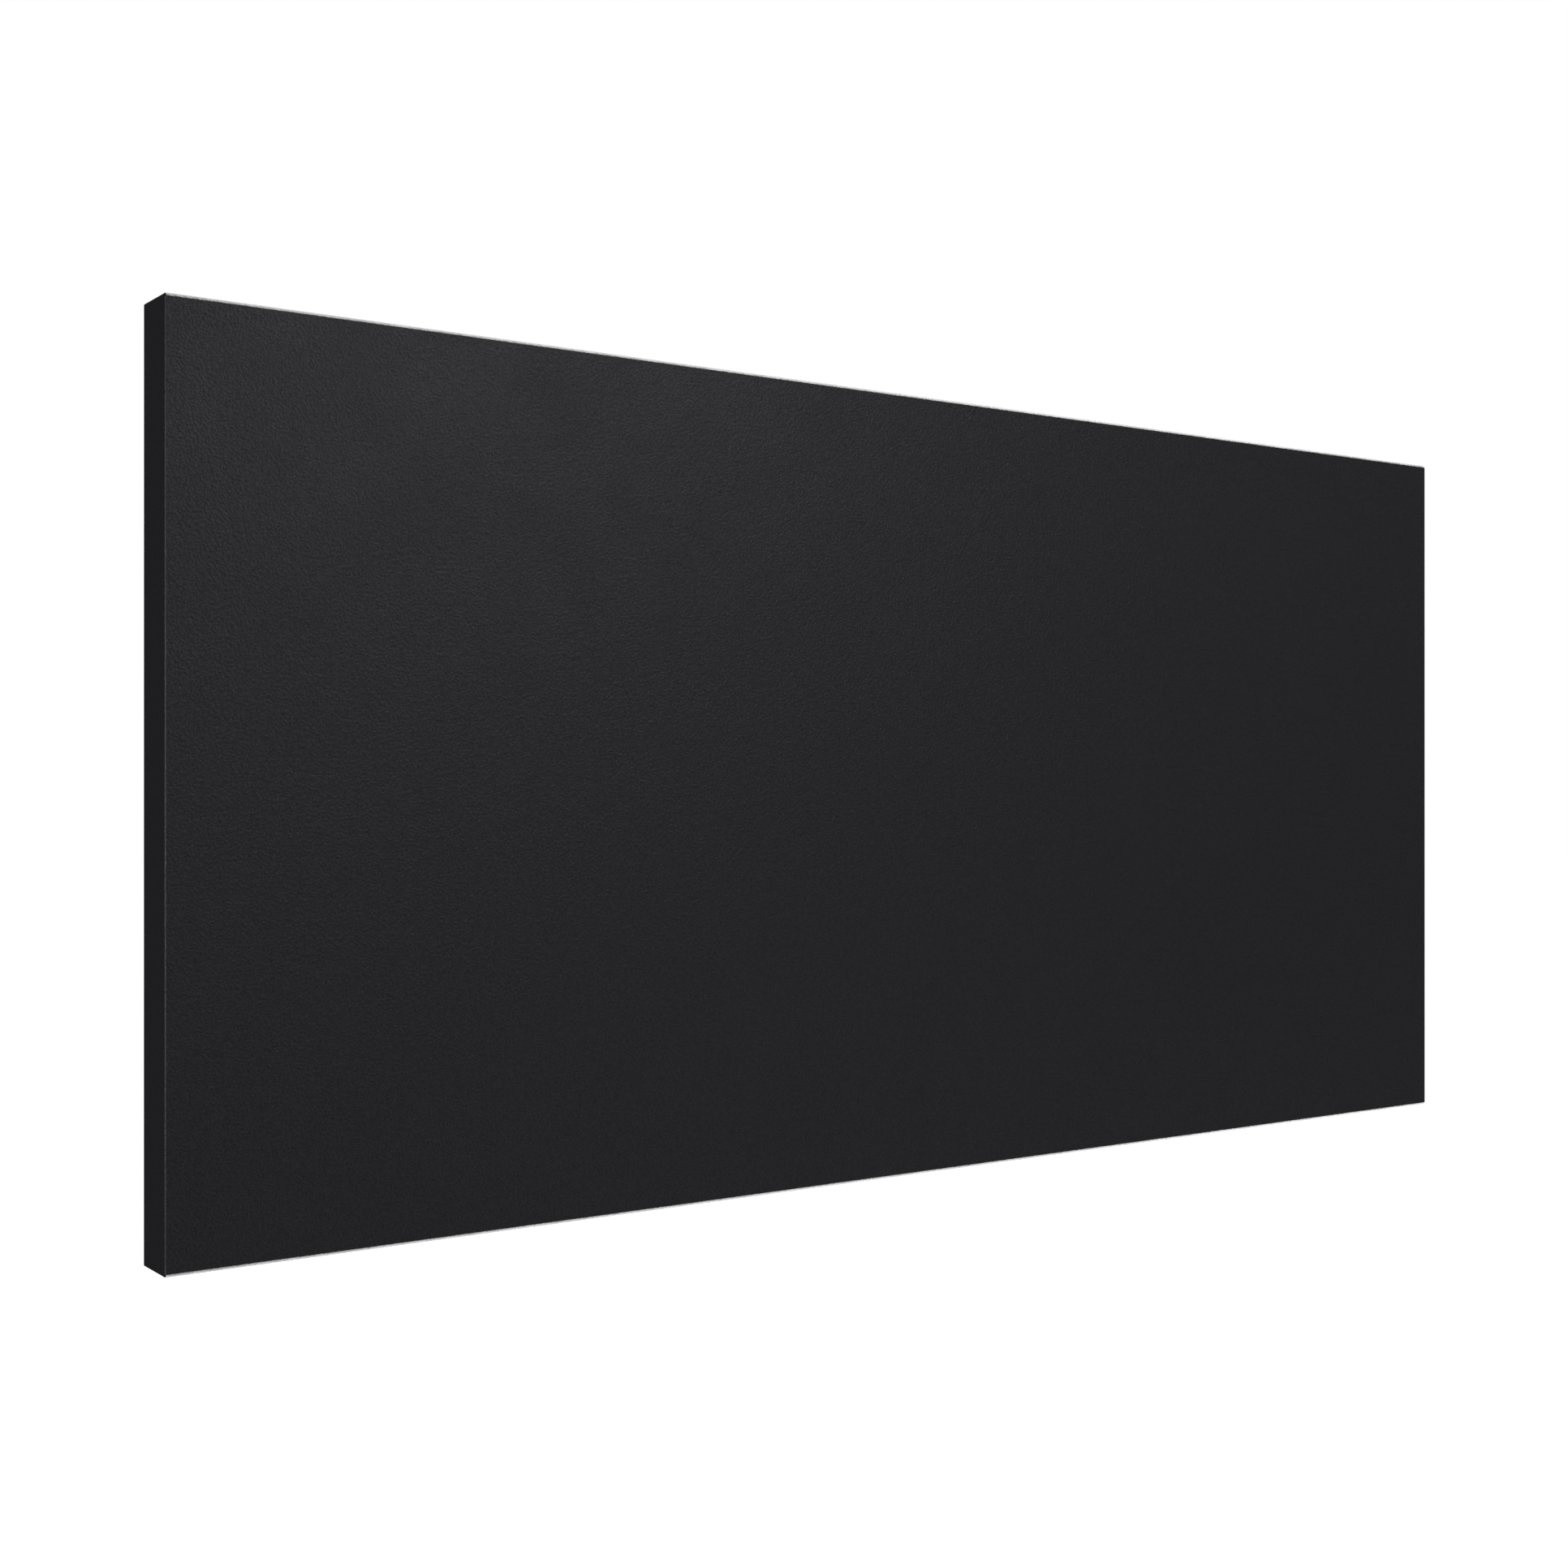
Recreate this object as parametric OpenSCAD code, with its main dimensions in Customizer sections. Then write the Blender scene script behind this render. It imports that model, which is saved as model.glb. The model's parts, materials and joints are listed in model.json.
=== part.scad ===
// Kick plate: a folded steel tray that hides two fixing rails on the door.
// X runs across the door, Z is up, and the door's surface is the plane Y = 0.
// The front of the plate faces -Y. The origin is the middle of the door fixings.

/* [Plate] */
// Width of the plate, across the door
plate_w = 600; // [590:5:760]
// Height of the plate
plate_h = 300; // [240:5:400]
// Depth of the plate, from its front face back to the door
plate_d = 20; // [18:0.5:26]
// Thickness of the tray's sheet steel
sheet_t = 1.2; // [1:0.1:1.5]
// Outside radius of the tray's folds, along its top and bottom front edges
fold_r = 1.2; // [0.8:0.1:2]
// Radius that the edges at the tray's welded ends are dressed to
end_r = 0.5; // [0.3:0.1:1.2]
// Width of the lip folded in behind each end of the tray
lip_w = 12; // [8:0.5:18]

/* [Fixing rails] */
// Thickness of the rails' steel
rail_t = 2; // [1.5:0.1:2.5]
// Inside radius of the rails' bend
rail_bend_r = 1; // [0.5:0.1:2]
// How far a rail stops short of each end of the plate
rail_end_gap = 20; // [18:1:22]
// Height of the leg that lies on the door
rail_door_leg = 32; // [28:1:40]
// Depth of the leg that lies against the tray
rail_tray_leg = 16; // [14:0.5:16]
// Distance between neighbouring door fixings
door_pitch = 160; // [120:5:170]
// Diameter of the holes for the door screws
door_hole_d = 5.5; // [4.5:0.1:6.5]
// Length of the slots at the two middle door fixings
door_slot_l = 12; // [8:0.5:16]
// Distance from the plate's top or bottom edge to the door fixings
door_hole_inset = 20; // [17:0.5:22]

/* [Tray screws] */
// Distance between neighbouring tray screws
screw_pitch = 175; // [130:5:175]
// Distance from the door to the tray screws
screw_back = 10; // [9:0.5:10]
// Thread diameter of the tray screws
screw_d = 4; // [3:0.5:4]
// Diameter of the countersunk screw head
screw_head_d = 7.5; // [6.8:0.1:8]
// Length of a tray screw, with its head
screw_l = 10; // [8:1:14]
// Width across the flats of the hexagon socket
socket_af = 2.5; // [2:0.1:3]
// Depth of the hexagon socket
socket_depth = 1.6; // [1:0.1:2]
// Width across the flats of a weld nut
nut_af = 9; // [8:0.5:10]
// Thickness of a weld nut
nut_t = 3.5; // [3:0.1:5]
// Diameter of the collar that centres a weld nut in the rail
nut_collar_d = 6; // [5.6:0.1:6.4]
// Height of that collar
nut_collar_h = 0.6; // [0.4:0.1:1]

/* [Stiffeners] */
// Thickness of the stiffeners' steel
stiff_t = 1; // [0.8:0.1:1.2]
// Width of the raised middle of a stiffener
stiff_crown_w = 30; // [26:1:40]
// Width of each of its side flanges
stiff_flange_w = 15; // [12:0.5:20]
// Inside radius of a stiffener's bends
stiff_bend_r = 1; // [0.5:0.1:1.5]
// Distance from an end of the plate to the middle of the outer stiffeners
stiff_inset = 110; // [90:5:130]
// Gap between a stiffener's ends and the rails
stiff_end_gap = 4.8; // [3:0.1:12]

/* [Tape, pads and damping] */
// Thickness of the bonding tape under the stiffeners
tape_t = 1; // [0.6:0.1:1.2]
// Width of a strip of bonding tape
tape_w = 12; // [8:0.5:12]
// How far the tape stops short of each end of its stiffener
tape_end_gap = 2; // [1:0.5:6]
// Thickness of a rubber door pad, with its ribs
pad_t = 2; // [1.6:0.1:3]
// Width of a door pad
pad_w = 20; // [16:1:22]
// Number of ribs on a door pad
pad_ribs = 8; // [5:1:9]
// How far a pad stops short of each end of its stiffener
pad_end_gap = 12; // [8:1:20]
// Thickness of a damping sheet, with its foil
damping_t = 2; // [1:0.1:3]
// Thickness of the foil on a damping sheet
foil_t = 0.2; // [0.1:0.05:0.4]
// Gap between a damping sheet and the stiffeners beside it
damping_gap = 10; // [6:1:20]
// How much shorter a damping sheet is than the stiffeners, at each end
damping_end_gap = 22; // [10:1:30]
// Corner radius of a damping sheet
damping_corner_r = 6; // [3:1:12]

/* [Hidden] */

$fn = 64;
past = 1;          // how far a cutting shape runs past what it cuts
slack = 0.1;       // clearance on a diameter where one piece slips into another

// Planes that the pieces are placed from
inside_z = plate_h / 2 - sheet_t;      // inner face of the tray's top and bottom
inside_y = -plate_d + sheet_t;         // inner face of the tray's front
stiff_y = inside_y + tape_t;           // front of the stiffeners' flanges
crown_y = -pad_t;                      // back of the stiffeners' crowns
foil_y = inside_y + damping_t;         // back of the damping sheets' foil
nut_z = inside_z - rail_t;             // face of the rail that the nuts are welded to

rail_l = plate_w - 2 * rail_end_gap;
door_hole_z = plate_h / 2 - door_hole_inset;
stiff_x = plate_w / 2 - stiff_inset;
stiff_w = stiff_crown_w + 2 * stiff_flange_w;
stiff_h = crown_y - stiff_y;
stiff_l = 2 * (inside_z - rail_door_leg - stiff_end_gap);
tape_l = stiff_l - 2 * tape_end_gap;
pad_l = stiff_l - 2 * pad_end_gap;
pad_base_t = pad_t / 2;
damping_w = stiff_x - stiff_w - 2 * damping_gap;
damping_l = stiff_l - 2 * damping_end_gap;

// Four screws on each rail; the two outer door fixings are round, the two inner ones slotted
row_of_four = [-1.5, -0.5, 0.5, 1.5];
outer_pair = [-1.5, 1.5];
inner_pair = [-0.5, 0.5];
both_sides = [-1, 1];

// A rectangle centred on the origin with four rounded corners
module rounded_rectangle(w, h, r) {
    square([w - 2 * r, h], center = true);
    square([w, h - 2 * r], center = true);
    for (x = both_sides, y = both_sides)
        translate([x * (w / 2 - r), y * (h / 2 - r)]) circle(r);
}

// A rectangle from the origin with only the corner at the origin rounded
module one_round_corner(w, h, r) {
    translate([r, 0]) square([w - r, h]);
    translate([0, r]) square([w, h - r]);
    translate([r, r]) circle(r);
}

// What fills the corner at the origin between two walls, up to an arc of radius r
module corner_fill(r) {
    difference() {
        square(r);
        translate([r, r]) circle(r);
    }
}

// Extrudes a profile drawn in Y and Z along X, from -l/2 to l/2
module along_x(l) {
    translate([-l / 2, 0, 0]) rotate([90, 0, 90]) linear_extrude(l) children();
}

// Extrudes an outline drawn in X and Z forwards, from y to y - t
module forwards(y, t) {
    translate([0, y, 0]) rotate([90, 0, 0]) linear_extrude(t) children();
}

// Turns what is made for the top of the plate over for its bottom
module at_bottom() {
    mirror([0, 0, 1]) children();
}

// The tray as a solid block: its front edges are folded at top and bottom, its ends dressed all round
module tray_block() {
    intersection() {
        forwards(0, plate_d) rounded_rectangle(plate_w, plate_h, end_r);
        translate([0, -plate_d / 2, -plate_h / 2])
            linear_extrude(plate_h) rounded_rectangle(plate_w, plate_d, end_r);
        along_x(plate_w) translate([-plate_d, -plate_h / 2]) {
            one_round_corner(plate_d, plate_h / 2, fold_r);
            translate([0, plate_h]) mirror([0, 1]) one_round_corner(plate_d, plate_h / 2, fold_r);
        }
    }
}

// One countersunk hole through the tray's top
module countersink() {
    translate([0, -screw_back, inside_z])
        cylinder(h = sheet_t, d1 = screw_head_d - 2 * sheet_t, d2 = screw_head_d);
}

module face_tray() {
    color([0.13, 0.13, 0.135]) difference() {
        tray_block();
        // the hollow behind the face
        translate([-plate_w / 2 + sheet_t, inside_y, -inside_z])
            cube([plate_w - 2 * sheet_t, plate_d - 2 * sheet_t, 2 * inside_z]);
        // the mouth on the door side, between the two lips
        translate([-plate_w / 2 + lip_w, -plate_d / 2, -inside_z])
            cube([plate_w - 2 * lip_w, plate_d, 2 * inside_z]);
        for (i = row_of_four) translate([i * screw_pitch, 0, 0]) {
            countersink();
            at_bottom() countersink();
        }
    }
}

// Section of a fixing rail: one leg on the door, one under the tray's top
module rail_section() {
    translate([0, inside_z]) rotate(180) difference() {
        one_round_corner(rail_tray_leg, rail_door_leg, rail_bend_r + rail_t);
        translate([rail_t, rail_t])
            one_round_corner(rail_tray_leg, rail_door_leg, rail_bend_r);
    }
}

// A slot that runs along X, centred on the origin
module door_slot() {
    straight = door_slot_l - door_hole_d;
    square([straight, door_hole_d], center = true);
    for (side = both_sides) translate([side * straight / 2, 0]) circle(d = door_hole_d);
}

// Cuts an outline through the leg on the door, where the i-th door fixing is
module door_fixing(i) {
    translate([i * door_pitch, 0, door_hole_z]) forwards(past, rail_t + 2 * past) children();
}

module rail() {
    color([0.74, 0.76, 0.78]) difference() {
        along_x(rail_l) rail_section();
        for (i = outer_pair) door_fixing(i) circle(d = door_hole_d);
        for (i = inner_pair) door_fixing(i) door_slot();
        for (i = row_of_four) translate([i * screw_pitch, -screw_back, nut_z - past])
            cylinder(h = rail_t + 2 * past, d = nut_collar_d + slack);
    }
}

module top_rail() {
    rail();
}

module bottom_rail() {
    at_bottom() rail();
}

// A hexagon weld nut, with its collar up in the rail
module weld_nut() {
    difference() {
        union() {
            translate([0, 0, -nut_t]) cylinder(h = nut_t, d = nut_af / cos(30), $fn = 6);
            cylinder(h = nut_collar_h, d = nut_collar_d);
        }
        translate([0, 0, -nut_t - past]) cylinder(h = nut_t + nut_collar_h + 2 * past, d = screw_d);
    }
}

module rail_nuts() {
    color([0.62, 0.62, 0.60])
        for (i = row_of_four) translate([i * screw_pitch, -screw_back, nut_z]) weld_nut();
}

module top_rail_nuts() {
    rail_nuts();
}

module bottom_rail_nuts() {
    at_bottom() rail_nuts();
}

// A countersunk screw, its head flush with the tray, its thread down through the nut
module tray_screw() {
    shank_d = screw_d - slack;
    head_h = (screw_head_d - shank_d) / 2;
    difference() {
        union() {
            translate([0, 0, -head_h]) cylinder(h = head_h, d1 = shank_d, d2 = screw_head_d);
            translate([0, 0, -screw_l]) cylinder(h = screw_l - head_h, d = shank_d);
        }
        translate([0, 0, -socket_depth])
            cylinder(h = socket_depth + past, d = socket_af / cos(30), $fn = 6);
    }
}

module tray_screws() {
    color([0.08, 0.08, 0.085])
        for (i = row_of_four) translate([i * screw_pitch, -screw_back, plate_h / 2]) tray_screw();
}

module top_screws() {
    tray_screws();
}

module bottom_screws() {
    at_bottom() tray_screws();
}

// Half of a stiffener's section, from its middle to one flange, with its flange on the X axis
module half_hat() {
    web_x = stiff_crown_w / 2;
    outer_r = stiff_bend_r + stiff_t;
    difference() {
        union() {
            translate([web_x, stiff_h]) rotate(180) one_round_corner(web_x, stiff_h, outer_r);
            square([web_x + stiff_flange_w, stiff_t]);
            translate([web_x, stiff_t]) corner_fill(stiff_bend_r);
        }
        translate([web_x - stiff_t, stiff_h - stiff_t]) rotate(180)
            one_round_corner(stiff_crown_w, stiff_h, stiff_bend_r);
        translate([web_x - stiff_t, 0]) corner_fill(outer_r);
    }
}

// A hat-section stiffener that stands behind the face
module stiffener(x) {
    color([0.66, 0.68, 0.70]) translate([x, stiff_y, -stiff_l / 2]) linear_extrude(stiff_l) {
        half_hat();
        mirror([1, 0]) half_hat();
    }
}

module stiffener_left() {
    stiffener(-stiff_x);
}

module stiffener_centre() {
    stiffener(0);
}

module stiffener_right() {
    stiffener(stiff_x);
}

// The two strips of tape that bond a stiffener's flanges to the face
module stiffener_tape(x) {
    strip_x = (stiff_w - stiff_flange_w) / 2;
    color([0.30, 0.31, 0.32])
        for (side = both_sides)
            translate([x + side * strip_x - tape_w / 2, inside_y, -tape_l / 2])
                cube([tape_w, tape_t, tape_l]);
}

module stiffener_tape_left() {
    stiffener_tape(-stiff_x);
}

module stiffener_tape_centre() {
    stiffener_tape(0);
}

module stiffener_tape_right() {
    stiffener_tape(stiff_x);
}

// A ribbed rubber pad between a stiffener's crown and the door
module door_pad(x) {
    rib_pitch = pad_w / pad_ribs;
    rib_w = rib_pitch / 2;
    color([0.05, 0.05, 0.05]) translate([x - pad_w / 2, -pad_t, -pad_l / 2]) linear_extrude(pad_l) {
        square([pad_w, pad_base_t]);
        for (i = [0 : pad_ribs - 1])
            translate([i * rib_pitch + rib_w / 2, 0]) square([rib_w, pad_t]);
    }
}

module door_pad_left() {
    door_pad(-stiff_x);
}

module door_pad_centre() {
    door_pad(0);
}

module door_pad_right() {
    door_pad(stiff_x);
}

// One layer of the damping between two stiffeners, from y forwards
module damping_layer(x, y, t) {
    translate([x, 0, 0])
        forwards(y, t) rounded_rectangle(damping_w, damping_l, damping_corner_r);
}

// The butyl sheet, stuck to the back of the face
module damping_sheet(x) {
    color([0.07, 0.07, 0.07]) damping_layer(x, foil_y - foil_t, damping_t - foil_t);
}

module damping_sheet_left() {
    damping_sheet(-stiff_x / 2);
}

module damping_sheet_right() {
    damping_sheet(stiff_x / 2);
}

// The aluminium foil that covers the butyl sheet
module damping_foil(x) {
    color([0.78, 0.79, 0.80]) damping_layer(x, foil_y, foil_t);
}

module damping_foil_left() {
    damping_foil(-stiff_x / 2);
}

module damping_foil_right() {
    damping_foil(stiff_x / 2);
}

face_tray();
top_rail();
bottom_rail();
top_rail_nuts();
bottom_rail_nuts();
top_screws();
bottom_screws();
stiffener_left();
stiffener_centre();
stiffener_right();
stiffener_tape_left();
stiffener_tape_centre();
stiffener_tape_right();
door_pad_left();
door_pad_centre();
door_pad_right();
damping_sheet_left();
damping_sheet_right();
damping_foil_left();
damping_foil_right();
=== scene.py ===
"""Looks of the kick plate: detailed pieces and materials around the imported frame. Lengths are in metres."""

import json
import math

import bmesh
import bpy
from mathutils import Matrix, Vector

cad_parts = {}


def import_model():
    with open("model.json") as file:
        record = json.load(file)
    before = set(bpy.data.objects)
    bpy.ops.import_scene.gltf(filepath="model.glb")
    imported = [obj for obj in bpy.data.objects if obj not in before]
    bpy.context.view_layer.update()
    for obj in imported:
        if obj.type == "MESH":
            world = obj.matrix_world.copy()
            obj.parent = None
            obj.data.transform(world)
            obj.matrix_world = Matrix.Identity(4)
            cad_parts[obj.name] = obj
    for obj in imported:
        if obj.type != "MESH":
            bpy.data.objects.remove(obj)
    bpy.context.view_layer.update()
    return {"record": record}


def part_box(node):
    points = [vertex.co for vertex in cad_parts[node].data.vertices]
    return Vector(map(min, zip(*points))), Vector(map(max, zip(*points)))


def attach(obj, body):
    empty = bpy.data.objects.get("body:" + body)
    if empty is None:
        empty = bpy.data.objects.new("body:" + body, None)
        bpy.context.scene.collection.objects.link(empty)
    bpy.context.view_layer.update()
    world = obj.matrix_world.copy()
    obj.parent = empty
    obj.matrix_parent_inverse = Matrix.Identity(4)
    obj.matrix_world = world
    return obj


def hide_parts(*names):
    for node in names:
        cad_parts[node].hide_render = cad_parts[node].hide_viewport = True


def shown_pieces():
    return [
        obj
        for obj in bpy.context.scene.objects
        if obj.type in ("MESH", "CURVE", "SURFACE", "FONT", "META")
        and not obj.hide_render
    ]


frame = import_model()

MM = 0.001
ALONG = {"X": 0, "Y": 1, "Z": 2}
SAME = 1e-6  # coordinates closer than this are the same

# ---------------------------------------------------------------- sizes from the frame

tray_low, tray_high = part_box("face_tray")
rail_low, rail_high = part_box("top_rail")
hat_low, hat_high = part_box("stiffener_centre")
mounts = {mount["name"]: mount for mount in frame["record"]["mounts"]}
door_holes = mounts["corner_fixings"]["dims"]
door_slots = mounts["middle_fixings"]["dims"]

SHEET_T = tray_high.z - rail_high.z  # the rails lie against the tray's top and bottom
RAIL_T = 2.0 * MM
RAIL_BEND_R = 1.0 * MM  # inside radius
RAIL_CORNER_R = 3.0 * MM
FOLD_R = 1.2 * MM  # outside radius of the tray's folds
END_R = 0.5 * MM  # edges of the tray's welded ends
EDGE_PROFILE = 0.33  # the tray's rounded edges are a little flatter than arcs
INNER_FOLD_R = 0.4 * MM
LIP_W = 12.0 * MM
STIFF_T = 1.0 * MM
STIFF_BEND_R = 1.0 * MM
STIFF_CROWN_W = 30.0 * MM
STIFF_CORNER_R = 3.0 * MM
TAPE_W = 12.0 * MM
TAPE_CORNER_R = 1.0 * MM
TAPE_EASE_R = 0.25 * MM
PAD_RIBS = 8
DAMPING_CORNER_R = 6.0 * MM
BURR_R = 0.15 * MM  # every cut edge is eased by this much
OVERCUT = 1.0 * MM  # cutters reach this far past what they cut

SCREW_PITCH = 175.0 * MM
SCREW_Y = -10.0 * MM
SCREW_XS = [step * SCREW_PITCH for step in (-1.5, -0.5, 0.5, 1.5)]
HEAD_R = 3.75 * MM
SHANK_R = 1.95 * MM
SCREW_L = 10.0 * MM
TIP_R = 1.2 * MM
TIP_L = 0.6 * MM
SOCKET_FLATS = 2.5 * MM
SOCKET_DEPTH = 1.6 * MM
SOCKET_CONE = 0.35 * MM
SOCKET_CHAMFER = 0.12 * MM
RIM_FLAT = 0.18 * MM  # the head's top is this much smaller in radius than its edge
THREAD_PITCH = 0.7 * MM
THREAD_DEPTH = 0.4 * MM
THREAD_TOP = -2.2 * MM  # below the head's top
THREAD_RINGS = 6  # rings of points in one turn of the thread
CREST = 1.6  # how steep the thread's flanks are
NUT_FLATS = 9.0 * MM
NUT_T = 3.5 * MM
NUT_BORE_R = 2.0 * MM
NUT_LEAD = 0.3 * MM  # chamfer at both ends of the bore
NUT_FACE = 0.97  # the nut's round face, as a part of its width across flats
BEAD_SIZE = (0.5 * MM, 1.3 * MM, 0.5 * MM)  # half sizes of a weld bead, with its length along the nut's flat
BEAD_DROP = 0.2 * MM
COLLAR_R = 3.0 * MM
COLLAR_H = 0.6 * MM
COLLAR_HOLE_R = 3.05 * MM

# ---------------------------------------------------------------- outlines


def arc(centre, radius, start, end, steps):
    """Points on an arc, with both ends, angles in degrees."""
    angles = [math.radians(start + (end - start) * i / steps) for i in range(steps + 1)]
    return [(centre[0] + radius * math.cos(a), centre[1] + radius * math.sin(a)) for a in angles]


def circle(centre, radius):
    return arc(centre, radius, 0, 360, 48)[:-1]


def slot(centre, length, radius):
    """A slot along the first axis, of this length from end to end."""
    reach = length / 2 - radius
    return (arc((centre[0] + reach, centre[1]), radius, -90, 90, 24)
            + arc((centre[0] - reach, centre[1]), radius, 90, 270, 24))


def rounded_rectangle(low, high, radius):
    corners = [(high[0] - radius, high[1] - radius, 0), (low[0] + radius, high[1] - radius, 90),
               (low[0] + radius, low[1] + radius, 180), (high[0] - radius, low[1] + radius, 270)]
    return [point for u, v, start in corners
            for point in arc((u, v), radius, start, start + 90, 8)]


def in_space(along, s, u, v):
    """The point at s along one axis and (u, v) on the other two, in their X, Y, Z order."""
    if along == "X":
        return Vector((s, u, v))
    if along == "Y":
        return Vector((u, s, v))
    return Vector((u, v, s))


# ---------------------------------------------------------------- meshes


def prism(outline, along, low, high):
    """A closed solid with this outline from low to high along an axis."""
    mesh = bmesh.new()
    ends = [[mesh.verts.new(in_space(along, s, u, v)) for u, v in outline] for s in (low, high)]
    mesh.faces.new(ends[0])
    mesh.faces.new(reversed(ends[1]))
    for i in range(len(outline)):
        j = (i + 1) % len(outline)
        mesh.faces.new((ends[0][j], ends[0][i], ends[1][i], ends[1][j]))
    bmesh.ops.recalc_face_normals(mesh, faces=mesh.faces)
    return mesh


def block(low, high):
    return prism([(low.x, low.y), (high.x, low.y), (high.x, high.y), (low.x, high.y)], "Z", low.z, high.z)


def turned(rings, steps, middle):
    """A closed solid from rings of (radius, z) given by functions of the angle, from its bottom up.
    A ring of no radius is a point. Where the first and last rings both have a radius, they join."""
    mesh = bmesh.new()
    angles = [math.tau * i / steps for i in range(steps)]
    made = []
    for ring in rings:
        points = [ring(a) for a in angles]
        if points[0][0] == 0:
            made.append([mesh.verts.new(middle + Vector((0, 0, points[0][1])))] * steps)
            continue
        made.append([mesh.verts.new(middle + Vector((r * math.cos(a), r * math.sin(a), z)))
                     for a, (r, z) in zip(angles, points)])
    pairs = list(zip(made, made[1:]))
    if made[0][0] is not made[0][1] and made[-1][0] is not made[-1][1]:
        pairs.append((made[-1], made[0]))
    for lower, upper in pairs:
        for i in range(steps):
            j = (i + 1) % steps
            corners = []
            for vert in (lower[i], lower[j], upper[j], upper[i]):
                if vert not in corners:
                    corners.append(vert)
            mesh.faces.new(corners)
    bmesh.ops.recalc_face_normals(mesh, faces=mesh.faces)
    return mesh


def round_edges(mesh, wanted, radius, steps, profile=0.5):
    """Rounds the edges that wanted(edge) picks. A profile of 0.5 is an arc, and one of 0.25 is flat."""
    edges = [edge for edge in mesh.edges if wanted(edge)]
    bmesh.ops.bevel(mesh, geom=edges, offset=radius, offset_type="OFFSET", segments=steps,
                    profile=profile, affect="EDGES", clamp_overlap=True)


def edge_runs(edge, along):
    """True if the edge is parallel to this axis."""
    a, b = edge.verts[0].co, edge.verts[1].co
    return all(abs(a[i] - b[i]) < SAME for i in range(3) if i != ALONG[along])


def edge_at(edge, **places):
    """True if both ends of the edge are at the given x, y or z."""
    return all(abs(vert.co["xyz".index(axis)] - place) < SAME
               for vert in edge.verts for axis, place in places.items())


def merge(meshes):
    """One mesh from several."""
    whole = bmesh.new()
    for mesh in meshes:
        data = bpy.data.meshes.new("part")
        mesh.to_mesh(data)
        mesh.free()
        whole.from_mesh(data)
        bpy.data.meshes.remove(data)
    return whole


def make_object(name, mesh):
    data = bpy.data.meshes.new(name)
    mesh.to_mesh(data)
    mesh.free()
    made = bpy.data.objects.new(name, data)
    bpy.context.scene.collection.objects.link(made)
    return made


def settle(piece):
    """Puts what the modifiers make into the piece's own mesh."""
    graph = bpy.context.evaluated_depsgraph_get()
    piece.data = bpy.data.meshes.new_from_object(piece.evaluated_get(graph))
    piece.modifiers.clear()


def cut(piece, cutters):
    """Takes each cutter's shape out of the piece."""
    for mesh in cutters:
        tool = make_object("cutter", mesh)
        boolean = piece.modifiers.new("cut", "BOOLEAN")
        boolean.operation = "DIFFERENCE"
        boolean.solver = "EXACT"
        boolean.object = tool
        settle(piece)
        bpy.data.objects.remove(tool)


def ease(piece, radius, steps=2):
    """Rounds every edge of 40 degrees or more by a small radius."""
    bevel = piece.modifiers.new("ease", "BEVEL")
    bevel.width = radius
    bevel.segments = steps
    bevel.limit_method = "ANGLE"
    bevel.angle_limit = math.radians(40)
    bevel.miter_outer = "MITER_ARC"
    settle(piece)


def shade(piece, sharp=50):
    """Shades folds smooth and flats flat, and keeps edges over this many degrees sharp."""
    piece.data.shade_smooth()
    piece.data.set_sharp_from_angle(angle=math.radians(sharp))
    flats = piece.modifiers.new("flats", "WEIGHTED_NORMAL")
    flats.keep_sharp = True
    flats.weight = 50
    settle(piece)


# ---------------------------------------------------------------- materials


def start_material(name):
    material = bpy.data.materials.new(name)
    material.use_nodes = True
    tree = material.node_tree
    tree.nodes.clear()
    output = tree.nodes.new("ShaderNodeOutputMaterial")
    shader = tree.nodes.new("ShaderNodeBsdfPrincipled")
    tree.links.new(shader.outputs["BSDF"], output.inputs["Surface"])
    return material, tree, shader


def plug(tree, value, socket):
    """Links the value to the socket if it is an output, and sets it otherwise."""
    if isinstance(value, bpy.types.NodeSocket):
        tree.links.new(value, socket)
    else:
        socket.default_value = value


def add(tree, kind, inputs=None, **settings):
    """Adds a node with these settings; each input is a value, or a socket to link."""
    node = tree.nodes.new(kind)
    for name, value in settings.items():
        setattr(node, name, value)
    for name, value in (inputs or {}).items():
        plug(tree, value, node.inputs[name])
    return node


def dress(tree, shader, **inputs):
    """Sets the shader's inputs; base_color stands for Base Color, and so on."""
    for name, value in inputs.items():
        plug(tree, value, shader.inputs[name.replace("_", " ").title().replace("Ior", "IOR")])


def place(tree, stretch=(1, 1, 1)):
    """Object coordinates, which are the row frame's, in metres."""
    coords = add(tree, "ShaderNodeTexCoord").outputs["Object"]
    return add(tree, "ShaderNodeMapping", {"Vector": coords, "Scale": stretch}).outputs["Vector"]


def noise(tree, size, detail=2, rough=0.5, stretch=(1, 1, 1)):
    """Noise whose features are about this size. A stretch under 1 makes them longer along that axis."""
    return add(tree, "ShaderNodeTexNoise", {"Vector": place(tree, stretch), "Scale": 1 / size,
                                            "Detail": detail, "Roughness": rough}).outputs["Fac"]


def between(tree, value, low, high, start=0.0, end=1.0):
    """Maps a value from start..end to low..high."""
    return add(tree, "ShaderNodeMapRange", {"Value": value, "From Min": start, "From Max": end,
                                            "To Min": low, "To Max": high}).outputs["Result"]


def blend_colors(tree, factor, low, high):
    node = add(tree, "ShaderNodeMix", data_type="RGBA")
    plug(tree, factor, node.inputs[0])
    plug(tree, (*low, 1), node.inputs[6])
    plug(tree, (*high, 1), node.inputs[7])
    return node.outputs[2]


def bump(tree, height, depth, strength=1.0, normal=None):
    inputs = {"Height": height, "Distance": depth, "Strength": strength}
    if normal is not None:
        inputs["Normal"] = normal
    return add(tree, "ShaderNodeBump", inputs).outputs["Normal"]


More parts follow.
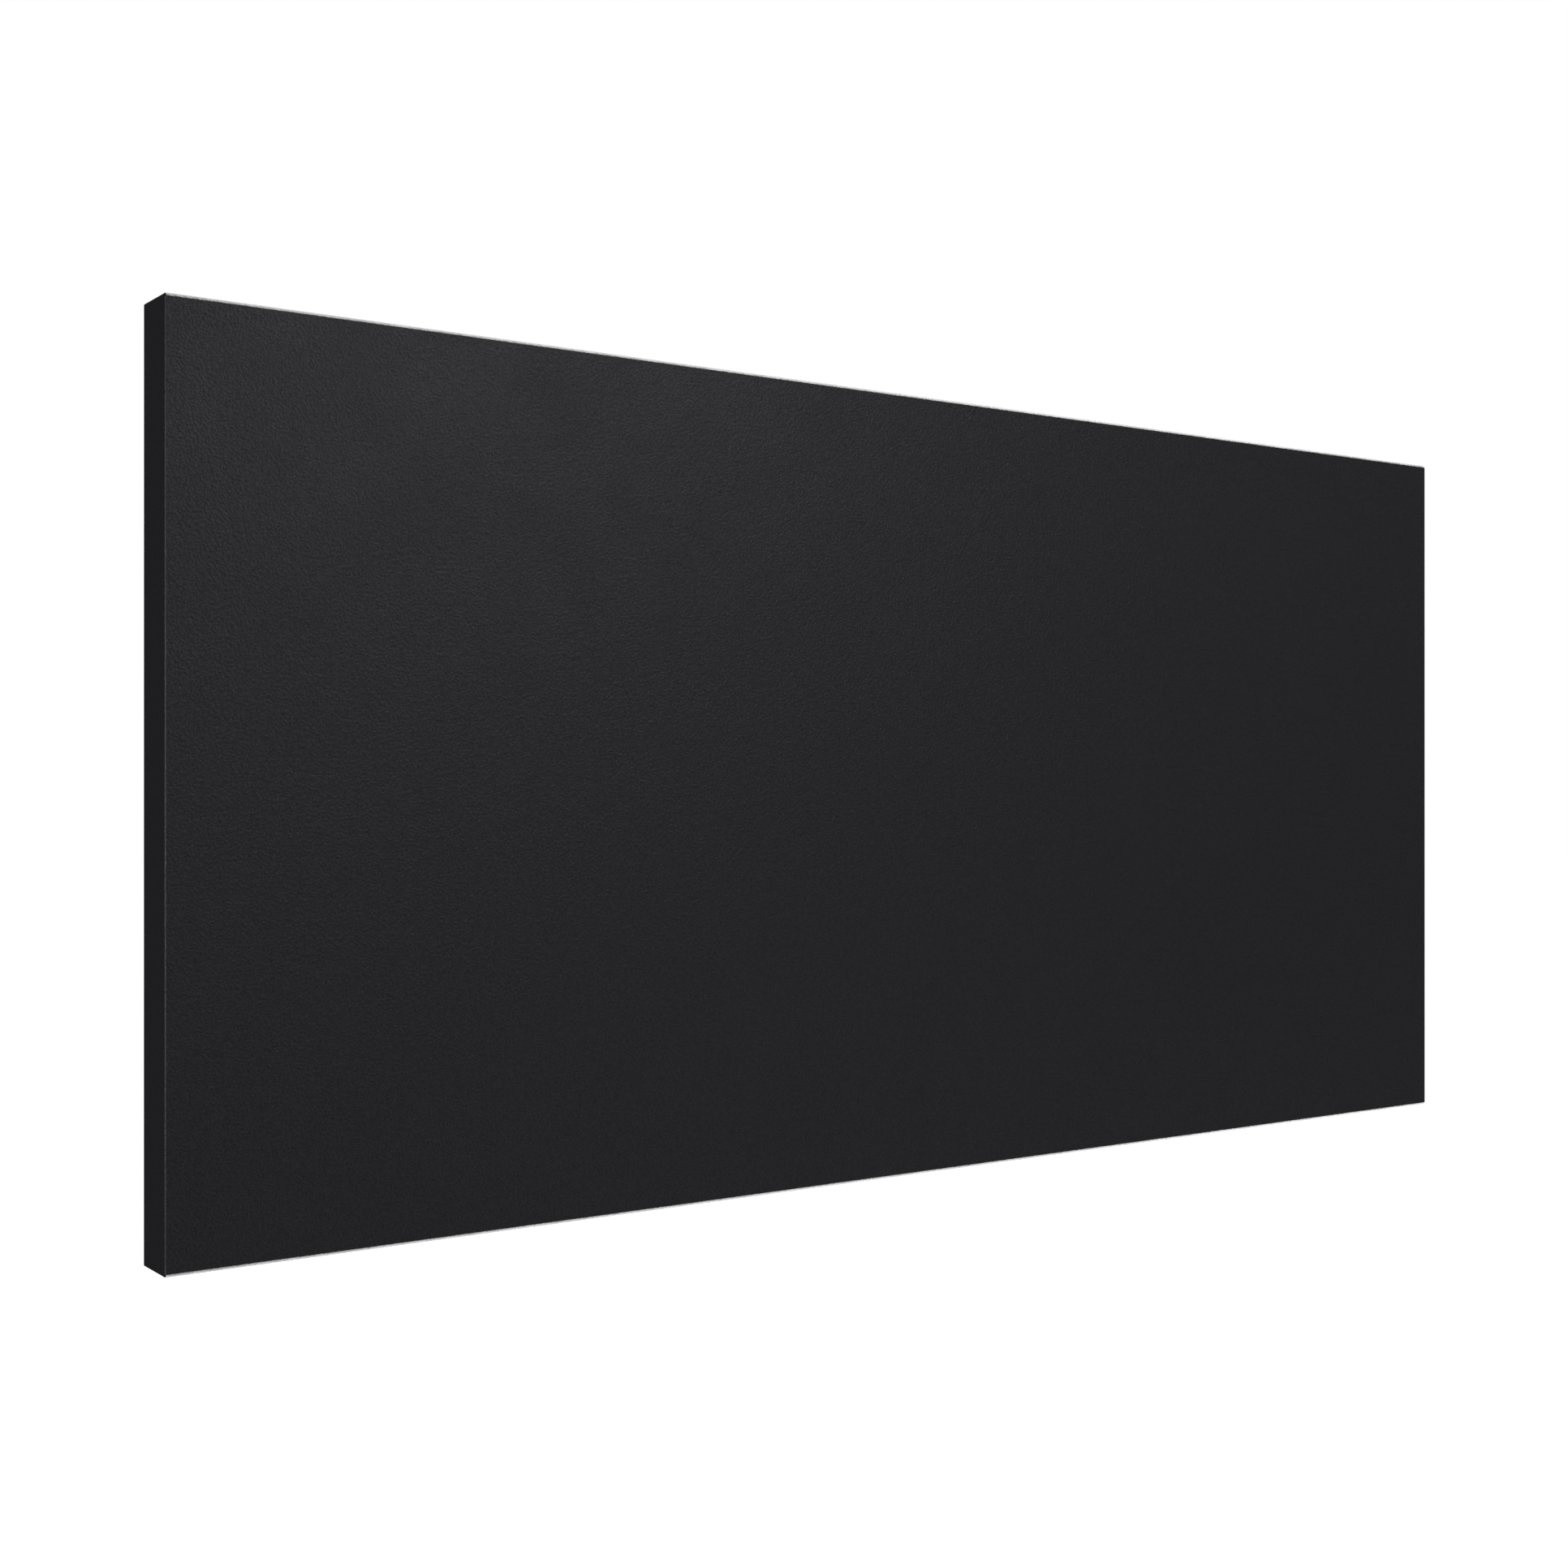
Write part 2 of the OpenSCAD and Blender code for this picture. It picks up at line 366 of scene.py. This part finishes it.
def powder_coat():
    """Matt black powder coat with a fine sandy texture."""
    material, tree, shader = start_material("tray_coat")
    grain = noise(tree, 0.4 * MM, detail=2, rough=0.6)
    grit = noise(tree, 0.9 * MM, detail=1)
    speck = between(tree, noise(tree, 0.42 * MM, detail=2, rough=0.6), 0, 1, 0.35, 0.65)
    patches = noise(tree, 25 * MM, detail=2)
    normal = bump(tree, grit, 0.14 * MM)
    normal = bump(tree, grain, 0.04 * MM, normal=normal)
    dress(tree, shader,
          base_color=blend_colors(tree, speck, (0.0105, 0.0105, 0.0111), (0.0150, 0.0150, 0.0158)),
          specular_ior_level=between(tree, speck, 0.38, 0.62),
          roughness=between(tree, patches, 0.40, 0.44, 0.3, 0.7), normal=normal)
    return material


def zinc_plate():
    """Bright zinc plate over the fine lines left by rolling, which run along the rail."""
    material, tree, shader = start_material("rail_zinc")
    lines = noise(tree, 1.1 * MM, detail=3, stretch=(0.02, 1, 1))
    cloud = noise(tree, 30 * MM, detail=4)
    tone = add(tree, "ShaderNodeMix", {"Factor": 0.5, "A": lines, "B": cloud}).outputs["Result"]
    dress(tree, shader,
          base_color=blend_colors(tree, between(tree, tone, 0, 1, 0.4, 0.6), (0.56, 0.575, 0.60),
                                  (0.68, 0.69, 0.705)),
          metallic=1.0, roughness=between(tree, tone, 0.28, 0.38, 0.35, 0.65),
          normal=bump(tree, lines, 0.03 * MM, 0.5))
    return material


def weld_steel():
    """Plain steel, browned and blued where the heat of welding reached it."""
    material, tree, shader = start_material("nut_steel")
    heat = noise(tree, 3 * MM, detail=3)
    pits = noise(tree, 0.4 * MM, detail=2)
    dress(tree, shader,
          base_color=blend_colors(tree, between(tree, heat, 0, 1, 0.4, 0.65), (0.46, 0.45, 0.43),
                                  (0.24, 0.17, 0.13)),
          metallic=1.0, roughness=between(tree, heat, 0.35, 0.55), normal=bump(tree, pits, 0.03 * MM, 0.5))
    return material


def black_zinc():
    """Black passivated zinc, satin, with uneven film."""
    material, tree, shader = start_material("screw_black")
    film = noise(tree, 1.2 * MM, detail=3)
    dress(tree, shader,
          base_color=blend_colors(tree, between(tree, film, 0, 1, 0.35, 0.65), (0.018, 0.018, 0.02),
                                  (0.035, 0.035, 0.04)),
          metallic=0.4, roughness=between(tree, film, 0.3, 0.42), normal=bump(tree, film, 0.01 * MM, 0.4))
    return material


def cells(tree, size):
    """Voronoi cells of about this size."""
    return add(tree, "ShaderNodeTexVoronoi", {"Vector": place(tree), "Scale": 1 / size})


def galvanised():
    """Galvanised sheet with a soft spangle."""
    material, tree, shader = start_material("stiffener_galvanised")
    flakes = cells(tree, 6 * MM).outputs["Color"]
    tone = add(tree, "ShaderNodeSeparateColor", {"Color": flakes}).outputs["Red"]
    cloud = noise(tree, 18 * MM, detail=3)
    dress(tree, shader,
          base_color=blend_colors(tree, tone, (0.46, 0.48, 0.50), (0.62, 0.63, 0.64)),
          metallic=1.0, roughness=between(tree, tone, 0.32, 0.52),
          normal=bump(tree, cloud, 0.05 * MM, 0.2, bump(tree, tone, 0.01 * MM, 0.25)))
    return material


def foam_tape():
    """Closed-cell foam, cut clean."""
    material, tree, shader = start_material("tape_foam")
    bubbles = cells(tree, 0.35 * MM).outputs["Distance"]
    dress(tree, shader,
          base_color=blend_colors(tree, between(tree, bubbles, 0, 1, 0, 0.6), (0.09, 0.095, 0.1),
                                  (0.16, 0.165, 0.17)),
          roughness=0.9, specular_ior_level=0.3, normal=bump(tree, bubbles, 0.08 * MM, 0.6))
    return material


def epdm():
    """Matt black rubber with a grey bloom."""
    material, tree, shader = start_material("pad_rubber")
    skin = noise(tree, 0.4 * MM, detail=3)
    bloom = noise(tree, 14 * MM, detail=3)
    dress(tree, shader,
          base_color=blend_colors(tree, between(tree, bloom, 0, 1, 0.4, 0.7), (0.012, 0.012, 0.012),
                                  (0.026, 0.026, 0.027)),
          roughness=between(tree, skin, 0.62, 0.8), normal=bump(tree, skin, 0.03 * MM, 0.5))
    return material


def butyl():
    """Black butyl with the slight sheen and waves of a soft sheet."""
    material, tree, shader = start_material("damping_butyl")
    flow = noise(tree, 2.5 * MM, detail=3)
    dress(tree, shader, base_color=(0.012, 0.012, 0.013, 1), roughness=between(tree, flow, 0.4, 0.6),
          normal=bump(tree, flow, 0.1 * MM, 0.5))
    return material


def foil():
    """Creased aluminium foil with fine rolling lines up it."""
    material, tree, shader = start_material("damping_foil")
    rolled = noise(tree, 0.6 * MM, detail=3, stretch=(1, 1, 0.04))
    creases = noise(tree, 12 * MM, detail=4)
    dress(tree, shader, base_color=(0.80, 0.81, 0.82, 1), metallic=1.0,
          roughness=between(tree, rolled, 0.18, 0.32),
          normal=bump(tree, creases, 0.25 * MM, 0.3, bump(tree, rolled, 0.01 * MM, 0.4)))
    return material


MAKERS = {"tray_coat": powder_coat, "rail_zinc": zinc_plate, "nut_steel": weld_steel,
          "screw_black": black_zinc, "stiffener_galvanised": galvanised, "tape_foam": foam_tape,
          "pad_rubber": epdm, "damping_butyl": butyl, "damping_foil": foil}
materials = {name: make() for name, make in MAKERS.items()}
slots = {part["node"]: part["material_slot"] for part in frame["record"]["subparts"]}


def stand_for(piece, node):
    """Finishes a piece that stands for a CAD node: gives it the material of the node's slot, attaches it to
    the body and hides the node it replaces.
    """
    piece.data.materials.clear()
    piece.data.materials.append(materials[slots[node]])
    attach(piece, "root")
    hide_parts(node)
    return piece


# ---------------------------------------------------------------- the tray


def face_tray():
    """One folded sheet with welded ends, open at the back between the lips of its ends."""
    low, high = tray_low, tray_high
    whole = block(low, high)
    # every outer edge is a fold or a dressed end, apart from the cut edges at the back of the top and bottom
    round_edges(whole, lambda edge: edge_runs(edge, "X") and edge_at(edge, y=low.y), FOLD_R, 8, EDGE_PROFILE)
    piece_ends = (low.x, high.x)
    round_edges(whole, lambda edge: any(edge_at(edge, x=x) for x in piece_ends), END_R, 6, EDGE_PROFILE)
    piece = make_object("kick_plate_tray", whole)

    inside = Vector((SHEET_T, SHEET_T, SHEET_T))
    hollow = block(low + inside, high - inside)
    round_edges(hollow, lambda edge: True, INNER_FOLD_R, 3)
    mouth = block(Vector((low.x + LIP_W, (low.y + high.y) / 2, low.z + SHEET_T)),
                  Vector((high.x - LIP_W, high.y + OVERCUT, high.z - SHEET_T)))
    cut(piece, [hollow, mouth])
    cut(piece, [countersink(x, side) for x in SCREW_XS for side in (1, -1)])
    ease(piece, BURR_R)
    shade(piece)
    return stand_for(piece, "face_tray")


def countersink(x, side):
    """The cone that a screw's head sits in, above (1) or below (-1), longer than the sheet is thick."""
    past = OVERCUT / 2
    depth = SHEET_T + 2 * past
    radius = HEAD_R + past  # a right-angled cone grows as much in radius as in height
    rings = [lambda a: (0, -depth), lambda a: (radius - depth, -depth),
             lambda a: (radius, 0), lambda a: (0, 0)]
    return over(turned(rings, 64, Vector((x, SCREW_Y, tray_high.z + past))), side)


def over(mesh, side):
    """Turns a mesh made for the top of the plate over for its bottom, where side is -1."""
    if side < 0:
        bmesh.ops.scale(mesh, vec=(1, 1, -1), verts=mesh.verts)
        bmesh.ops.reverse_faces(mesh, faces=mesh.faces)
    return mesh


# ---------------------------------------------------------------- rails, nuts and screws


def rail(name, node, side):
    """An angle with a round bend, rounded corners, and its holes and slots."""
    back, top = rail_high.y, rail_high.z
    outer_r = RAIL_BEND_R + RAIL_T
    bend = (back - outer_r, top - outer_r)
    outline = [(rail_low.y, top), *arc(bend, outer_r, 90, 0, 12), (back, rail_low.z),
               (back - RAIL_T, rail_low.z), *arc(bend, RAIL_BEND_R, 0, 90, 12), (rail_low.y, top - RAIL_T)]
    whole = prism(outline, "X", rail_low.x, rail_high.x)
    for end in (rail_low.x, rail_high.x):
        round_edges(whole, lambda edge: edge_at(edge, x=end, z=rail_low.z) and edge_runs(edge, "Y")
                    or edge_at(edge, x=end, y=rail_low.y) and edge_runs(edge, "Z"), RAIL_CORNER_R, 8)
    piece = make_object(name, over(whole, side))
    cut(piece, [over(hole, side) for hole in rail_holes()])
    ease(piece, BURR_R)
    shade(piece)
    return stand_for(piece, node)


def rail_holes():
    """The door's holes and slots in one leg, and the holes for the nuts' collars in the other."""
    z = door_holes["spacing_y_mm"] * MM / 2
    radius = door_holes["hole_r_mm"] * MM
    reach = (rail_high.y - RAIL_T - OVERCUT, rail_high.y + OVERCUT)
    holes = []
    for sign in (-1, 1):
        x = sign * door_holes["spacing_x_mm"] * MM / 2
        holes.append(prism(circle((x, z), radius), "Y", *reach))
        x = sign * door_slots["spacing_x_mm"] * MM / 2
        holes.append(prism(slot((x, z), door_slots["slot_length_mm"] * MM, radius), "Y", *reach))
    for x in SCREW_XS:
        holes.append(prism(circle((x, SCREW_Y), COLLAR_HOLE_R), "Z",
                           rail_high.z - RAIL_T - OVERCUT, rail_high.z + OVERCUT))
    return holes


def hexagon(flats, angle):
    """The radius of a hexagon at an angle, with a corner at angle 0."""
    return flats / 2 / math.cos(math.radians(30) - angle % math.radians(60))


def weld_nut(x):
    """A chamfered hexagon nut with its collar, hung from the rail, and its three weld beads."""
    face_r = NUT_FLATS / 2 * NUT_FACE
    slope = math.tan(math.radians(30))

    def corner(a):
        radius = hexagon(NUT_FLATS, a)
        return radius, -NUT_T + (radius - face_r) * slope

    rings = [lambda a: (NUT_BORE_R, -NUT_T + NUT_LEAD), lambda a: (NUT_BORE_R + NUT_LEAD, -NUT_T),
             lambda a: (face_r, -NUT_T), corner, lambda a: (hexagon(NUT_FLATS, a), -BURR_R),
             lambda a: (hexagon(NUT_FLATS, a) - BURR_R, 0), lambda a: (COLLAR_R, 0),
             lambda a: (COLLAR_R, COLLAR_H - BURR_R), lambda a: (COLLAR_R - BURR_R, COLLAR_H),
             lambda a: (NUT_BORE_R + NUT_LEAD, COLLAR_H), lambda a: (NUT_BORE_R, COLLAR_H - NUT_LEAD)]
    seat = Vector((x, SCREW_Y, rail_high.z - RAIL_T))
    return merge([turned(rings, 72, seat)] + [weld_bead(seat, 30 + 120 * i) for i in range(3)])


def weld_bead(seat, degrees):
    """A bead in the corner between the rail and the nut's flat that faces this way."""
    angle = math.radians(degrees)
    out = Vector((math.cos(angle), math.sin(angle), 0))
    spot = seat + out * NUT_FLATS / 2 - Vector((0, 0, BEAD_DROP))
    bead = bmesh.new()
    bmesh.ops.create_icosphere(bead, subdivisions=3, radius=1)
    turn = Matrix.Rotation(angle, 4, "Z")
    bead.transform(Matrix.Translation(spot) @ turn @ Matrix.Diagonal((*BEAD_SIZE, 1)))
    return bead


def nuts(name, node, side):
    piece = make_object(name, over(merge([weld_nut(x) for x in SCREW_XS]), side))
    shade(piece, 28)
    return stand_for(piece, node)


def thread(angle, z):
    """Radius of the screw's thread at this angle and height."""
    phase = (z / THREAD_PITCH + angle / math.tau) % 1
    ridge = min(1.0, CREST * abs(2 * phase - 1))
    return SHANK_R - THREAD_DEPTH * (1 - ridge)


def screw(x):
    """A countersunk screw with a hexagon socket and a cut thread."""
    step = THREAD_PITCH / THREAD_RINGS
    count = int((SCREW_L - TIP_L + THREAD_TOP) / step)
    rings = [lambda a: (0, -SCREW_L), lambda a: (TIP_R, -SCREW_L)]
    for i in range(count, -1, -1):
        z = THREAD_TOP - i * step
        rings.append(lambda a, z=z: (thread(a, z), z))
    cone_end = -(HEAD_R - SHANK_R)
    brim = BURR_R / 3
    rings += [lambda a: (SHANK_R, cone_end - 2 * brim), lambda a: (SHANK_R, cone_end),
              lambda a: (HEAD_R - BURR_R, -BURR_R), lambda a: (HEAD_R - brim, -brim),
              lambda a: (HEAD_R - RIM_FLAT, 0),
              lambda a: (hexagon(SOCKET_FLATS, a) + SOCKET_CHAMFER, 0),
              lambda a: (hexagon(SOCKET_FLATS, a), -SOCKET_CHAMFER),
              lambda a: (hexagon(SOCKET_FLATS, a), -SOCKET_DEPTH + SOCKET_CONE),
              lambda a: (0, -SOCKET_DEPTH)]
    return turned(rings, 48, Vector((x, SCREW_Y, tray_high.z)))


def screws(name, node, side):
    piece = make_object(name, over(merge([screw(x) for x in SCREW_XS]), side))
    shade(piece, 28)
    return stand_for(piece, node)


# ---------------------------------------------------------------- stiffeners, tape and pads


def hat_outline(x):
    """The hat's section at this x: from the crown to one flange and back round under it, then mirrored."""
    front, back = hat_low.y, hat_high.y
    half, flange = STIFF_CROWN_W / 2, (hat_high.x - hat_low.x) / 2
    outer_r = STIFF_BEND_R + STIFF_T
    crown = (half - outer_r, back - outer_r)
    foot = (half + STIFF_BEND_R, front + outer_r)
    right = [*arc(crown, outer_r, 90, 0, 10), *arc(foot, STIFF_BEND_R, 180, 270, 10),
             (flange, front + STIFF_T), (flange, front),
             *arc(foot, outer_r, 270, 180, 10), *arc(crown, STIFF_BEND_R, 0, 90, 10)]
    left = [(-u, v) for u, v in reversed(right)]
    return [(x + u, v) for u, v in right + left]


def stiffener(name, node):
    """A hat section with round bends and rounded flange corners."""
    low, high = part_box(node)
    whole = prism(hat_outline((low.x + high.x) / 2), "Z", low.z, high.z)
    for end in (low.z, high.z):
        round_edges(whole, lambda edge: edge_runs(edge, "Y") and edge_at(edge, z=end)
                    and (edge_at(edge, x=low.x) or edge_at(edge, x=high.x)), STIFF_CORNER_R, 8)
    piece = make_object(name, whole)
    ease(piece, BURR_R)
    shade(piece)
    return stand_for(piece, node)


def tape(name, node):
    """A strip under each flange of a stiffener."""
    low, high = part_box(node)
    strips = []
    for start, end in ((low.x, low.x + TAPE_W), (high.x - TAPE_W, high.x)):
        outline = rounded_rectangle((start, low.z), (end, high.z), TAPE_CORNER_R)
        strips.append(prism(outline, "Y", low.y, high.y))
    piece = make_object(name, merge(strips))
    ease(piece, TAPE_EASE_R, 3)
    shade(piece)
    return stand_for(piece, node)


def door_pad(name, node):
    """A strip with round-topped ribs that run up it."""
    low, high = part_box(node)
    pitch = (high.x - low.x) / PAD_RIBS
    rib_r = pitch / 4
    base = (low.y + high.y) / 2
    outline = [(low.x, low.y), (low.x, base)]
    for i in range(PAD_RIBS):
        middle = (low.x + (i + 0.5) * pitch, high.y - rib_r)
        outline += [(middle[0] - rib_r, base), *arc(middle, rib_r, 180, 0, 8), (middle[0] + rib_r, base)]
    outline += [(high.x, base), (high.x, low.y)]
    piece = make_object(name, prism(outline, "Z", low.z, high.z))
    shade(piece, 40)
    return stand_for(piece, node)


# ---------------------------------------------------------------- damping

EMBOSS_DEPTH = 0.25 * MM
EMBOSS_PITCH = 7.5 * MM
FOIL_T = 0.1 * MM
FOIL_STEP = 1.25 * MM  # the foil's mesh has a point this often
BUTYL_EASE_R = 0.4 * MM


def damping_sheet(name, node):
    """Butyl that the embossed foil beds into."""
    low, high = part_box(node)
    outline = rounded_rectangle((low.x, low.z), (high.x, high.z), DAMPING_CORNER_R)
    piece = make_object(name, prism(outline, "Y", low.y, high.y - EMBOSS_DEPTH))
    ease(piece, BUTYL_EASE_R, 3)
    shade(piece)
    return stand_for(piece, node)


def embossed(u, v):
    """Depth of the diamond pattern at a place on the foil, from 0 on the ridges to 1 in the middles."""
    return abs(math.sin(math.pi * (u + v) / EMBOSS_PITCH) * math.sin(math.pi * (u - v) / EMBOSS_PITCH))


def damping_foil(name, node):
    """Embossed foil with rounded corners, flat along its rim."""
    low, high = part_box(node)
    middle = (low + high) / 2
    half = (high - low) / 2
    columns, rows = (round(2 * size / FOIL_STEP) for size in (half.x, half.z))
    mesh = bmesh.new()

    def point(i, j, lift):
        u, v = (2 * i / columns - 1) * half.x, (2 * j / rows - 1) * half.z
        depth = EMBOSS_DEPTH * embossed(u, v) if 0 < i < columns and 0 < j < rows else 0.0
        past_u = max(0.0, abs(u) - (half.x - DAMPING_CORNER_R))
        past_v = max(0.0, abs(v) - (half.z - DAMPING_CORNER_R))
        if past_u and past_v:  # pulls a square corner in to a round one
            pull = 1 - max(past_u, past_v) / math.hypot(past_u, past_v)
            u -= math.copysign(past_u * pull, u)
            v -= math.copysign(past_v * pull, v)
        return Vector((middle.x + u, high.y - lift - depth, middle.z + v))

    grids = [[[mesh.verts.new(point(i, j, lift)) for j in range(rows + 1)] for i in range(columns + 1)]
             for lift in (0.0, FOIL_T)]
    for grid in grids:
        for i in range(columns):
            for j in range(rows):
                mesh.faces.new((grid[i][j], grid[i + 1][j], grid[i + 1][j + 1], grid[i][j + 1]))
    rim = ([(i, 0) for i in range(columns)] + [(columns, j) for j in range(rows)]
           + [(i, rows) for i in range(columns, 0, -1)] + [(0, j) for j in range(rows, 0, -1)])
    for (i, j), (k, l) in zip(rim, rim[1:] + rim[:1]):
        mesh.faces.new((grids[0][i][j], grids[0][k][l], grids[1][k][l], grids[1][i][j]))
    bmesh.ops.recalc_face_normals(mesh, faces=mesh.faces)
    piece = make_object(name, mesh)
    piece.data.shade_smooth()
    piece.data.set_sharp_from_angle(angle=math.radians(50))
    return stand_for(piece, node)


# ---------------------------------------------------------------- the assembly

face_tray()
for place_name, side in (("top", 1), ("bottom", -1)):
    rail(f"{place_name}_fixing_rail", f"{place_name}_rail", side)
    nuts(f"{place_name}_weld_nuts", f"{place_name}_rail_nuts", side)
    screws(f"{place_name}_tray_screws", f"{place_name}_screws", side)
for place_name in ("left", "centre", "right"):
    stiffener(f"{place_name}_stiffener", f"stiffener_{place_name}")
    tape(f"{place_name}_bonding_tape", f"stiffener_tape_{place_name}")
    door_pad(f"{place_name}_door_pad", f"door_pad_{place_name}")
for place_name in ("left", "right"):
    damping_sheet(f"{place_name}_damping_butyl", f"damping_sheet_{place_name}")
    damping_foil(f"{place_name}_damping_foil_face", f"damping_foil_{place_name}")

# ---------------------------------------------------------------- studio

FLOOR_Z = tray_low.z - 0.45
FLOOR_T = 0.02
FLOOR_REACH = 15.0
LAMP_Z = FLOOR_Z + 0.02  # of the lamps that lie on the floor and shine up
AMBIENT = 0.0615  # light from all round, as the plate sees it
DAYLIGHT = (0.985, 0.985, 1.06)  # a little cooler than white
NEUTRAL = (1.0, 1.0, 1.0)
CAMERA_LENS = 48.0  # millimetres, on a sensor 36 wide
CAMERA_PLACE = Vector((-0.514, -0.647, 0.0))
CAMERA_LOOK = Vector((0.5784, 0.8157, 0.0005))
middle = (tray_low + tray_high) / 2


def collect(name, slot_names):
    """A collection of the pieces with these material slots, for lights that reach only them."""
    made = bpy.data.collections.new(name)
    wanted = [materials[slot_name] for slot_name in slot_names]
    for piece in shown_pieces():
        if piece.data.materials and piece.data.materials[0] in wanted:
            made.objects.link(piece)
    return made


outside = collect("outside", ["tray_coat", "screw_black"])
hardware = collect("hardware", [name for name in MAKERS if name != "tray_coat"])


def aim(thing, target):
    """Turns a lamp or camera to face a point."""
    thing.rotation_euler = (target - thing.location).to_track_quat("-Z", "Y").to_euler()


def softbox(name, location, size, power, target=middle, only=None, color=DAYLIGHT):
    """An area light that the camera doesn't see. It lights everything, or only a collection."""
    light = bpy.data.lights.new(name, "AREA")
    light.shape = "RECTANGLE"
    light.size, light.size_y = size
    light.energy = power
    light.color = color
    made = bpy.data.objects.new(name, light)
    made.location = location
    made.visible_camera = False
    aim(made, Vector(target))
    if only:
        made.light_linking.receiver_collection = only
    bpy.context.scene.collection.objects.link(made)


def floor():
    """A white floor. The camera sees it washed out by its own light, which is a little lower near the plate
    as painted shade under it, and the plate sees it dim.
    """
    corner = Vector((FLOOR_REACH, FLOOR_REACH, 0))
    sweep = make_object("studio_floor", block(Vector((0, 0, FLOOR_Z - FLOOR_T)) - corner,
                                              Vector((0, 0, FLOOR_Z)) + corner))
    material, tree, shader = start_material("floor_paint")
    seen = add(tree, "ShaderNodeLightPath").outputs["Is Camera Ray"]
    flat = place(tree, (1, 1, 0))
    away = add(tree, "ShaderNodeVectorMath", {"Vector": flat}, operation="LENGTH").outputs["Value"]
    glow_with_painted_shade = between(tree, away, 0.88, 1.0, 0.2, 0.7)  # painted shade: the floor's glow is a touch lower under the plate
    glow = add(tree, "ShaderNodeMix", {"Factor": seen, "A": AMBIENT, "B": glow_with_painted_shade}).outputs["Result"]
    dress(tree, shader, base_color=blend_colors(tree, seen, (0.0, 0.0, 0.0), (0.5, 0.5, 0.5)), roughness=0.9,
          specular_ior_level=0.0, emission_color=blend_colors(tree, seen, DAYLIGHT, NEUTRAL),
          emission_strength=glow)
    sweep.data.materials.append(material)


def world():
    """Light from all round, which the camera sees as plain white."""
    made = bpy.data.worlds.new("studio_world")
    made.use_nodes = True
    tree = made.node_tree
    tree.nodes.clear()
    seen = add(tree, "ShaderNodeLightPath").outputs["Is Camera Ray"]
    ground = add(tree, "ShaderNodeBackground", {"Color": blend_colors(tree, seen, DAYLIGHT, NEUTRAL),
                                                "Strength": between(tree, seen, AMBIENT, 1.0)})
    output = add(tree, "ShaderNodeOutputWorld")
    tree.links.new(ground.outputs["Background"], output.inputs["Surface"])
    bpy.context.scene.world = made


def camera():
    data = bpy.data.cameras.new("camera")
    data.sensor_width = 36.0
    data.lens = CAMERA_LENS
    made = bpy.data.objects.new("camera", data)
    made.location = CAMERA_PLACE
    aim(made, CAMERA_PLACE + CAMERA_LOOK)
    bpy.context.scene.collection.objects.link(made)
    bpy.context.scene.camera = made


world()
floor()
camera()

# each with its place, size, power and, if it isn't the middle of the plate, the point it faces
softbox("key", (1.38, -3.0, 1.39), (1.0, 1.0), 11.4)
softbox("front_fill", (0.6, -3.5, 0.5), (4.0, 2.0), 9.3)
softbox("right_fill", (3.5, -2.5, 0.5), (3.5, 2.0), 2.4)
softbox("floor_fill", (0.9, -2.0, LAMP_Z), (4.0, 3.4), 4.1, (0.9, -2.0, 1.0))
softbox("left_strip", (-1.54, -0.42, 0.0), (0.6, 0.9), 6.3, (tray_low.x, 0.0, 0.0))
# for the folds along the tray's top and bottom
softbox("overhead", (0.6, 0.22, 0.9), (1.5, 0.7), 27.0, (0.6, 0.22, 0.0), outside, NEUTRAL)
softbox("under", (0.42, 0.12, LAMP_Z), (1.3, 0.5), 15.0, (0.42, 0.12, 0.0), outside, NEUTRAL)
# for the back of the plate
softbox("back_top", (1.1, 2.4, 1.1), (2.7, 1.4), 12.0)
softbox("back_floor", (1.1, 1.3, LAMP_Z), (2.7, 2.3), 7.0, (1.1, 1.3, 1.0))
softbox("back", (1.2, 1.8, 1.0), (1.2, 1.2), 20.0, only=hardware)
softbox("rear_wall", (0.0, 2.8, 0.8), (4.0, 1.6), 8.0, only=hardware)
softbox("rear_floor", (0.0, 1.7, LAMP_Z), (3.6, 2.0), 8.0, (0.0, 1.4, 0.5), only=hardware)

bpy.context.scene.view_settings.view_transform = "Standard"
